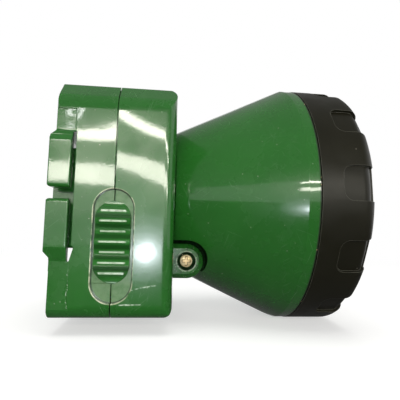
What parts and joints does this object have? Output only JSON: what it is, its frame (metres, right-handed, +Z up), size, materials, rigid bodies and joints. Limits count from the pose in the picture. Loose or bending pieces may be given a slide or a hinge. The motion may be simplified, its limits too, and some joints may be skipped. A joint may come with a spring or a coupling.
{
  "type": "rechargeable cap lamp",
  "caption": "Miner's cap lamp: a conical lamp head with a screw-on bezel, hinged to a box-shaped battery case with strap hooks and a slide switch.",
  "frame": {"origin": "middle of the lamp's length and width, at its lowest point (the underside of the bezel)", "axes": "+X the way the beam points, +Z up as worn, +Y to the side with the charging socket; the slide switch is on the -Y side"},
  "size_m": [0.0974, 0.0868, 0.0868],
  "materials": {
    "green_shell": "glossy dark green ABS, finely scratched",
    "green_knob": "glossy dark green ABS",
    "bezel_plastic": "satin blackish green plastic",
    "plated_screw": "zinc-plated steel",
    "brass_screw": "brass-plated screw",
    "black_rubber": "soft black rubber",
    "foam": "dark foam",
    "cell_wrap": "blue shrink sleeve over a metal can",
    "nickel_strip": "nickel-plated strip",
    "board_green": "solder-masked circuit board",
    "black_part": "black moulded component",
    "grey_coil": "grey ferrite",
    "capacitor": "sleeved aluminium can",
    "white_plastic": "white plastic",
    "contact_metal": "plated contact",
    "red_light": "clear red resin",
    "lead_insulation": "red and black insulation",
    "sink_metal": "turned aluminium",
    "led_board_white": "aluminium board, white mask",
    "led_ceramic": "white ceramic package",
    "led_lens": "clear resin over yellow phosphor",
    "mirror_film": "vacuum-metallised plastic",
    "lens_clear": "clear lens"
  },
  "bodies": {
    "case": {"case_rear": "green_shell", "case_front": "green_shell", "case_screws": "plated_screw", "cell_near": "cell_wrap", "cell_far": "cell_wrap", "cell_strip_top": "nickel_strip", "cell_strip_bottom": "nickel_strip", "cell_foam": "foam", "control_board": "board_green", "charger_chip": "black_part", "board_coil": "grey_coil", "board_capacitors": "capacitor", "board_screws": "plated_screw", "switch_body": "white_plastic", "socket_board": "board_green", "charge_socket": "black_part", "socket_pin": "contact_metal", "charge_light": "red_light", "cell_leads": "lead_insulation", "socket_leads": "lead_insulation", "case_lead": "lead_insulation", "hinge_lead": "lead_insulation"},
    "knob": {"slide_knob": "green_knob", "knob_keeper": "white_plastic", "switch_lever": "black_part"},
    "head": {"head_shell": "green_shell", "pivot_screws": "brass_screw", "pivot_washers": "black_rubber", "lead_grommet": "black_rubber", "heat_sink": "sink_metal", "sink_screws": "plated_screw", "led_board": "led_board_white", "led_chip": "led_ceramic", "led_dome": "led_lens", "led_ring": "white_plastic", "reflector": "mirror_film", "head_lead": "lead_insulation"},
    "lens_pack": {"lens": "lens_clear", "lens_gasket": "black_rubber"},
    "bezel": {"bezel_ring": "bezel_plastic"}
  },
  "joints": [
    {"name": "head_tilt", "type": "hinge", "parent": "case", "child": "head", "pos_m": [-0.0065, 0, 0.0213], "axis": [0, 1, 0], "range_deg": [0, 50], "deforming": ["hinge_lead"]},
    {"name": "knob_slide", "type": "slide", "parent": "case", "child": "knob", "axis": [0, 0, 1], "range_m": [-0.003, 0.003]},
    {"name": "bezel_advance", "type": "slide", "parent": "head", "child": "lens_pack", "axis": [1, 0, 0], "range_m": [0, 0.004]},
    {"name": "bezel_turn", "type": "hinge", "parent": "lens_pack", "child": "bezel", "pos_m": [0.03985, 0, 0.0434], "axis": [1, 0, 0], "range_deg": [0, 720]}
  ],
  "couplings": [
    {"joint": "bezel_advance", "follows": "bezel_turn", "m_per_rad": 0.00031831}
  ]
}
